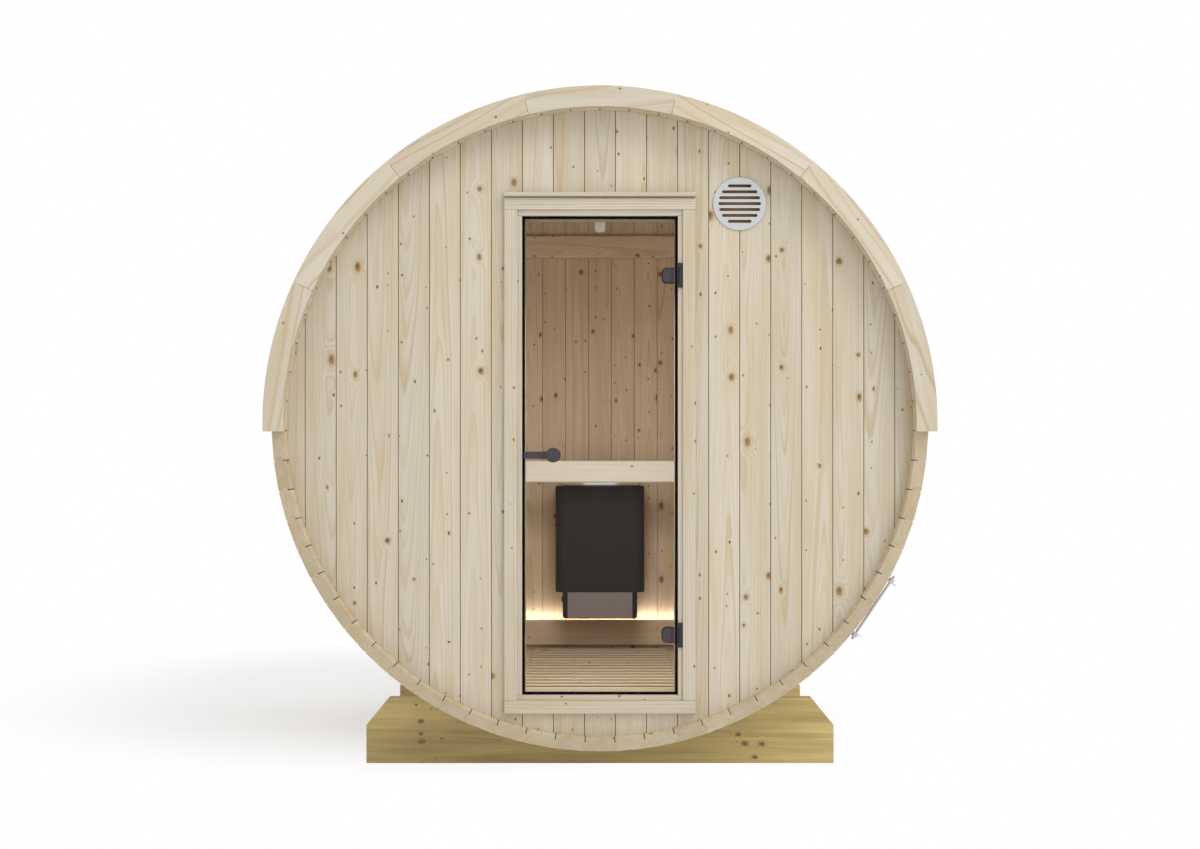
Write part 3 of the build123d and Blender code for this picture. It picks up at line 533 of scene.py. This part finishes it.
# Bitumen shingle faced with mineral grit: near black, each tab a little different
mat_felt = speckled("bitumen_mineral_faced", "#26272A", "#5A5B5E", 10 / 9, 0.95, 0.7)
# Opal diffuser, lit from within: a warm white glow
glow_inputs = {"Emission Color": paint("#FFF1D6"), "Emission Strength": 14.0}
mat_light = plain("opal_diffuser_lit", "#FFF4DC", 0.5, **glow_inputs)
# Clear toughened glass: all but unseen, with a faint mirror image
mat_glass = glass("glass_toughened_clear")


# Looks of the CAD nodes

def dress(node, material):
    """Give a CAD node one material in place of its imported one."""
    mesh = nodes[node].data
    mesh.materials.clear()
    mesh.materials.append(material)


looks = {
    "staves": mat_staves, "arch_trim": mat_trim, "floor_slats": mat_slats, "door_glass": mat_glass,
    "door_pull": mat_grey, "hinge_clamp": mat_grey, "hinge_leaf": mat_leaf, "door_seal": mat_seal,
    "vent_grille": mat_pale, "latch_plate": mat_pale, "heater_cover": mat_enamel, "heater_core": mat_steel,
    "heater_bracket": mat_steel, "heater_control_box": mat_steel, "heater_end_caps": mat_black,
    "heater_dial": mat_black, "hoop": mat_zinc, "light_strip": mat_light, "roof_covering": mat_felt,
    "temperature_sensor": mat_white,
}
for node in nodes:
    for start, material in looks.items():
        if node.startswith(start):
            dress(node, material)

# Single timbers, each with the grain along its length: planed spruce, the rail of pale aspen and the cradles
# of sawn, treated pine that is greener and rougher
timbers = {
    "door_jamb_left": upright, "door_jamb_right": upright, "casing_left": upright, "casing_right": upright,
    "door_head": level, "door_sill": level, "casing_top": level, "casing_bottom": level, "drip_cap": level,
    "back_batten_low": level, "back_batten_top": level, "floor_joists": lengthwise,
}
for count, (node, axes) in enumerate(timbers.items()):
    # The battens inside the room take the browner copy, with its painted shade
    grain = shaded_room_figure if node.startswith("back") else trim_figure
    dress(node, timber("spruce_planed_" + node, grain, lay_one(axes, node, 201.3 + 1.7 * count)))
rail = "heater_guard_rail"
dress(rail, timber("aspen_planed_rail", aspen_figure, lay_one(level, rail, 301.9)))
for count, node in enumerate(("cradle_front", "cradle_rear")):
    lay = lay_one(level, node, 401.2 + count)
    dress(node, timber("pine_treated_sawn_" + node, pine_figure, lay, rough=0.7))


# Pieces

def keep(name, mesh, material, body="cabin", replaced=()):
    """Put a new piece in the scene on its CAD body."""
    made = bpy.data.objects.new(name, mesh)
    bpy.context.scene.collection.objects.link(made)
    mesh.materials.clear()
    mesh.materials.append(material)
    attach(made, body)
    if replaced:
        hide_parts(*replaced)
    return made


def solid_of(node):
    """A copy of a CAD node's mesh with its corners joined."""
    made = bmesh.new()
    made.from_mesh(nodes[node].data)
    bmesh.ops.remove_doubles(made, verts=made.verts, dist=1e-5)
    return made


def merge_flat(made):
    """Join the facets of each flat face into one."""
    bmesh.ops.dissolve_limit(made, angle_limit=math.radians(0.4), verts=made.verts, edges=made.edges)


def shape(made, name):
    """Close up a drawn mesh: normals outward, facets smooth where they meet at a low angle."""
    bmesh.ops.recalc_face_normals(made, faces=made.faces)
    for facet in made.faces:
        facet.smooth = True
    for edge in made.edges:
        edge.smooth = edge.calc_face_angle(math.pi) < math.radians(21)
    mesh = bpy.data.meshes.new(name)
    made.to_mesh(mesh)
    made.free()
    return mesh


def run(made, rows):
    """Skin a run of like sections and close its ends."""
    rings = [[made.verts.new(point) for point in row] for row in rows]
    for near, far in zip(rings, rings[1:]):
        for a in range(len(near)):
            b = (a + 1) % len(near)
            made.faces.new((near[a], near[b], far[b], far[a]))
    made.faces.new(rings[0][::-1])
    made.faces.new(rings[-1])


def wall_boards(node, front, back, material):
    """Upright boards with eased edges and open joints, cut to the outline of the CAD wall."""
    ease, open_half, open_deep, hair, skin, past = 0.0008, 0.0010, 0.005, 0.00004, 0.0005, 0.02
    half = board_pitch / 2 - hair
    face = half - open_half
    low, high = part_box(node)
    side = [
        (face - ease, front), (face, front + ease), (face, front + open_deep), (half, front + open_deep),
        (half, back - open_deep), (face, back - open_deep), (face, back - ease), (face - ease, back),
    ]
    outline = side + [(-px, py) for px, py in reversed(side)]
    made = bmesh.new()
    for index in range(round(low.x / board_pitch) - 1, round(high.x / board_pitch) + 2):
        x = index * board_pitch
        run(made, [[(x + px, py, z) for px, py in outline] for z in (low.z - past, high.z + past)])
    solid = solid_of(node)
    for vert in solid.verts:
        vert.co.y += skin if vert.co.y > (front + back) / 2 else -skin
    window = bpy.data.meshes.new("window")
    solid.to_mesh(window)
    solid.free()
    boards = bpy.data.objects.new("boards", shape(made, "boards"))
    cutter = bpy.data.objects.new("cutter", window)
    for piece in (boards, cutter):
        bpy.context.scene.collection.objects.link(piece)
    cut = boards.modifiers.new("cut", "BOOLEAN")
    cut.operation, cut.solver, cut.object = "INTERSECT", "EXACT", cutter
    result = bpy.data.meshes.new_from_object(boards.evaluated_get(bpy.context.evaluated_depsgraph_get()))
    for facet in result.polygons:
        facet.use_smooth = False
    for piece in (boards, cutter):
        bpy.data.objects.remove(piece)
    return keep(node + "_boards", result, material, replaced=[node])


for node in ("front_wall_left", "front_wall_right", "front_wall_over_door", "front_wall_under_door"):
    wall_boards(node, wall_front, wall_inside, mat_wall)
rear = wall_boards("back_wall", back_inside, back_outside, mat_back).data
rear.materials.append(mat_rear)
for facet in rear.polygons:
    facet.material_index = int(facet.center.y > (back_inside + back_outside) / 2)


def eased(node, width, body="cabin"):
    """A CAD node again with its sharp edges rounded over, in the look that the node was given."""
    made = solid_of(node)
    merge_flat(made)
    sharp = [edge for edge in made.edges if edge.calc_face_angle(0.0) > math.radians(35)]
    bmesh.ops.bevel(made, geom=sharp, offset=width, segments=2, profile=0.5, affect="EDGES",
                    clamp_overlap=True)
    look_of_node = nodes[node].data.materials[0]
    return keep(node + "_eased", shape(made, node + "_eased"), look_of_node, body, [node])


# How far the edges of each kind of piece are rounded over
timber_ease, trim_ease, cradle_ease, fitting_ease = 0.0018, 0.0008, 0.003, 0.0007
for node in timbers:
    if not node.startswith(("floor", "back")):
        eased(node, timber_ease)
for node in ("arch_trim_front", "arch_trim_rear"):
    eased(node, trim_ease)
for node in ("cradle_front", "cradle_rear"):
    eased(node, cradle_ease)
for node in ("hinge_leaf_lower", "hinge_leaf_upper"):
    eased(node, fitting_ease)
for node in ("door_pull_inside", "door_pull_outside"):
    eased(node, fitting_ease, "door")


def clamp(node):
    """A door clamp whose black pad shows as a rim round the plate, and which is painted black in a band at
    the edge of the glass.
    """
    rim, shoulder, band = 0.0026, 0.010, (0.2538, 0.2605)
    low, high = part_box(node)
    made = solid_of(node)
    merge_flat(made)
    for x in band:
        bmesh.ops.bisect_plane(made, geom=made.verts[:] + made.edges[:] + made.faces[:], dist=1e-6,
                               plane_co=(x, 0.0, 0.0), plane_no=(1.0, 0.0, 0.0))
    fronts = [facet for facet in made.faces if facet.normal.y < -0.95]
    edge = bmesh.ops.inset_individual(made, faces=fronts, thickness=rim)["faces"]
    dark = []
    for facet in made.faces:
        centre = facet.calc_center_median()
        inner = centre.x > low.x + shoulder and low.z + 2 * rim < centre.z < high.z - 2 * rim
        dark.append((facet in edge and not inner) or band[0] < centre.x < band[1])
    mesh = keep(node + "_padded", shape(made, node + "_padded"), mat_grey, "door", [node]).data
    mesh.materials.append(mat_seal)
    for facet, black in zip(mesh.polygons, dark):
        facet.material_index = int(black)


clamp("hinge_clamp_lower")
clamp("hinge_clamp_upper")


def shingles():
    """Courses of bitumen tabs up both sides of the barrel, each lapped by the next, and caps on top."""
    made = bmesh.new()
    draw = random.Random(3)
    thick, gap, lap, courses, bends = 0.003, 0.006, 2.05, 12, 6
    low, high, first, rise = 1.1034, 1.1112, 1.1070, 0.0014
    eave, ridge, crest, cap = (math.radians(turn) for turn in (91.4, 4.0, 0.3, 7.5))
    starter_wide, tab_wide, cap_wide = 0.5, 0.333, 0.2
    starter_share, tab_shift, cap_shift, cap_lift = 0.9, 0.07, 0.13, 0.0034
    most_lift, least_wide, end_gap = 0.0006, 0.01, 0.001
    course = (eave - ridge) / courses
    end = stave_half_length - end_gap

    def tabs(start, stop, side, foot, head, wide, shift):
        y = -end - shift
        while y < end:
            near, far = max(y + gap / 2, -end), min(y + wide - gap / 2, end)
            y += wide
            if far - near < least_wide:
                continue
            lift = draw.uniform(0.0, most_lift)
            rows = []
            for step in range(bends + 1):
                turn = start + (stop - start) * step / bends
                under = foot + (head - foot) * step / bends + lift
                over = under + thick
                rows.append([
                    (side * r * math.sin(turn), yy, axis_height + r * math.cos(turn))
                    for r, yy in ((under, near), (under, far), (over, far), (over, near))
                ])
            run(made, rows)

    for side in (-1, 1):
        tabs(eave, eave - course * starter_share, side, low, low, starter_wide, 0.0)
        for count in range(courses):
            start, foot = eave - count * course, min(first + count * rise, high)
            stop = max(start - course * lap, crest)
            head = foot + (low - foot) * (start - stop) / (course * lap)
            tabs(start, stop, side, foot, head, tab_wide, tab_wide / 2 * (count % 2) + tab_shift)
    tabs(cap, -cap, 1, high + cap_lift, high + cap_lift, cap_wide, cap_shift)
    mesh = shape(made, "roof_shingles")
    return keep("roof_shingles", mesh, mat_felt, replaced=["roof_covering"])


def stones():
    """Broken stones heaped in the heater, under its rim."""
    made = bmesh.new()
    draw = random.Random(11)
    pitch_x, pitch_y, middle_y, stray = 0.058, 0.055, 0.806, 0.003
    most_lean, least_squash, most_swell = 0.5, 0.82, 1.08
    lump, lump_waves, chip, chip_waves = 0.28, 0.9, 0.10, 2.6
    for columns, rows, lift, size in ((6, 3, 0.032, 0.031), (5, 2, 0.049, 0.028)):
        for place in range(columns * rows):
            column, row = place % columns, place // columns
            centre = Vector((
                (column - (columns - 1) / 2) * pitch_x + draw.uniform(-stray, stray),
                middle_y + (row - (rows - 1) / 2) * pitch_y + draw.uniform(-stray, stray),
                well_floor + lift,
            ))
            spin = Matrix.Rotation(draw.uniform(0, 6.28), 3, "Z")
            turn = spin @ Matrix.Rotation(draw.uniform(-most_lean, most_lean), 3, "X")
            squash = [size * draw.uniform(least_squash, 1.0) for _ in range(3)]
            off = Vector([draw.uniform(0, 90) for _ in range(3)])
            for corner in bmesh.ops.create_icosphere(made, subdivisions=3, radius=1.0)["verts"]:
                swell = 1 + lump * noise.noise(corner.co * lump_waves + off)
                swell += chip * noise.noise(corner.co * chip_waves + off)
                out = Vector([c * k * min(swell, most_swell) for c, k in zip(corner.co, squash)])
                corner.co = centre + turn @ out
    return keep("heater_stones", shape(made, "heater_stones"), mat_stone)


def deflector():
    """A bowed steel plate at the back of the stones, which mirrors the bright doorway."""
    made = bmesh.new()
    bow, half, middle_y, sheet, bends = 1.72, 0.180, 0.906, 0.0015, 24
    foot, top = well_floor + 0.001, 1.0205
    rows = []
    for step in range(bends + 1):
        x = -half + 2 * half * step / bends
        y = middle_y + x * x / (2 * bow)
        rows.append([(x, yy, z) for yy, z in ((y, foot), (y + sheet, foot), (y + sheet, top), (y, top))])
    run(made, rows)
    return keep("heater_deflector", shape(made, "heater_deflector"), mat_polished)


def damper():
    """A wooden slide over the vent hole inside, with a turned-up grip."""
    made = bmesh.new()
    seat = wall_inside + 0.0006
    half, bevel, edge, thick, half_high = 0.095, 0.006, 0.010, 0.013, 0.1
    foot, tip, grip_from, grip_to, grip_half_high = 0.012, 0.008, 0.0131, 0.030, 0.045
    narrow = half - bevel
    slide = [(-half, 0.0), (half, 0.0), (half, edge), (narrow, thick), (-narrow, thick), (-half, edge)]
    grip = [(-foot, grip_from), (foot, grip_from), (tip, grip_to), (-tip, grip_to)]
    for section, reach in ((slide, half_high), (grip, grip_half_high)):
        ends = (vent_z - reach, vent_z + reach)
        run(made, [[(vent_x + px, seat + py, z) for px, py in section] for z in ends])
    return keep("vent_damper", shape(made, "vent_damper"), mat_damper)


shingles()
stones()
deflector()
damper()


# Camera, light and floor

def look(kind, name, place, way):
    """A camera or lamp at a place, looking a way."""
    made = bpy.data.objects.new(name, kind)
    bpy.context.scene.collection.objects.link(made)
    made.location = place
    made.rotation_euler = Vector(way).to_track_quat("-Z", "Y").to_euler()
    return made


lens = bpy.data.cameras.new("camera")
lens.lens, lens.sensor_width, lens.shift_y = 48.33, 36.0, 0.02125
lens.clip_end = 200.0
eye, ahead = (0.0, -6.45, 1.1525), (0.0, 1.0, 0.0)
bpy.context.scene.camera = look(lens, "camera", eye, ahead)


def soft_box(name, place, target, watts, wide, high, tint=(1.0, 1.0, 1.0), spread=180.0):
    """A broad lamp that isn't itself seen or mirrored."""
    lamp = bpy.data.lights.new(name, "AREA")
    lamp.shape, lamp.energy, lamp.size, lamp.size_y, lamp.color = "RECTANGLE", watts, wide, high, tint
    lamp.spread = math.radians(spread)
    made = look(lamp, name, place, Vector(target) - Vector(place))
    made.visible_camera = made.visible_glossy = False


soft_box("key_right", (5.0, -6.0, 8.5), (0.0, -0.5, 1.0), 430.0, 4.5, 4.5)
soft_box("front_fill", (3.2, -9.5, 1.3), (0.0, 0.0, 1.0), 80.0, 5.0, 2.0)
soft_box("room_fill", (0.0, -0.62, 1.25), (0.0, 0.95, 1.05), 8.5, 0.6, 1.1, (1.0, 0.95, 0.91))
soft_box("roof_fill", (0.0, -0.55, 1.70), (0.0, -0.45, 0.25), 12.5, 0.5, 0.4, (1.0, 0.94, 0.90))
soft_box("door_spill", (0.0, -0.62, 1.62), (0.0, -0.50, 0.25), 1.9, 0.4, 0.3, (1.0, 0.92, 0.86), 75.0)
soft_box("strip_glow", (0.0, 0.926, 0.380), (0.0, 0.950, 0.560), 0.75, 0.76, 0.012, (1.0, 0.92, 0.76))


def seen_white(tree):
    """1 for rays that show the backdrop: to the camera, in a mirroring surface or through glass."""
    path = add(tree, "ShaderNodeLightPath").node.outputs
    seen = add(tree, "ShaderNodeMath",
               {0: path["Is Camera Ray"], 1: path["Is Glossy Ray"]}, operation="MAXIMUM")
    return add(tree, "ShaderNodeMath", {0: seen, 1: path["Is Transmission Ray"]}, operation="MAXIMUM")


def studio_world():
    """Even white light all round, a little stronger where it is seen than where it lights."""
    world = bpy.data.worlds.new("white_studio")
    bpy.context.scene.world = world
    world.use_nodes = True
    tree = world.node_tree
    tree.nodes.clear()
    lit = add(tree, "ShaderNodeBackground", {"Color": paint("#FFFFFF"), "Strength": 0.94})
    white = add(tree, "ShaderNodeBackground", {"Color": paint("#FFFFFF"), "Strength": 1.0})
    both = add(tree, "ShaderNodeMixShader", {0: seen_white(tree), 1: lit, 2: white})
    add(tree, "ShaderNodeOutputWorld", {"Surface": both})


def studio_paper():
    """White paper: to the camera, painted white mixed with its matt shading, least where the object's shadow
    falls to the left and all of it further away, so that the shade under the front of the barrel is painted
    out.
    """
    pool_middle, pool_reach, pool_heart, pool_share = (-0.9, 1.3, 0.0), (2.6, 2.2, 1.0), 0.35, 0.28
    made, tree = blank("studio_paper_white")
    spot = add(tree, "ShaderNodeTexCoord", out="Object")
    spot = add(tree, "ShaderNodeVectorMath", {0: spot, 1: pool_middle}, operation="SUBTRACT")
    spot = add(tree, "ShaderNodeVectorMath", {0: spot, 1: pool_reach}, operation="DIVIDE")
    away = add(tree, "ShaderNodeVectorMath", {0: spot}, out="Value", operation="LENGTH")
    share = add(tree, "ShaderNodeMapRange",
                {"Value": away, "From Min": pool_heart, "From Max": 1.0, "To Min": pool_share, "To Max": 1.0},
                **smooth)
    seen = add(tree, "ShaderNodeMath", {0: seen_white(tree), 1: share}, operation="MULTIPLY")
    matt = add(tree, "ShaderNodeBsdfDiffuse", {"Color": paint("#F8F8F8")})
    glow = add(tree, "ShaderNodeEmission", {"Color": paint("#FFFFFF"), "Strength": 1.0})
    both = add(tree, "ShaderNodeMixShader", {0: seen, 1: matt, 2: glow})
    add(tree, "ShaderNodeOutputMaterial", {"Surface": both})
    return made


def studio_floor():
    """A wide sheet of paper just under the cradles."""
    half, drop = 60.0, 0.0004
    ground = bpy.data.meshes.new("studio_floor")
    corners = [(x * half, y * half, -drop) for x, y in ((-1, -1), (1, -1), (1, 1), (-1, 1))]
    ground.from_pydata(corners, [], [(0, 1, 2, 3)])
    ground.materials.append(studio_paper())
    floor = bpy.data.objects.new("studio_floor", ground)
    bpy.context.scene.collection.objects.link(floor)


studio_world()
studio_floor()

bpy.context.scene.view_settings.view_transform = "Standard"
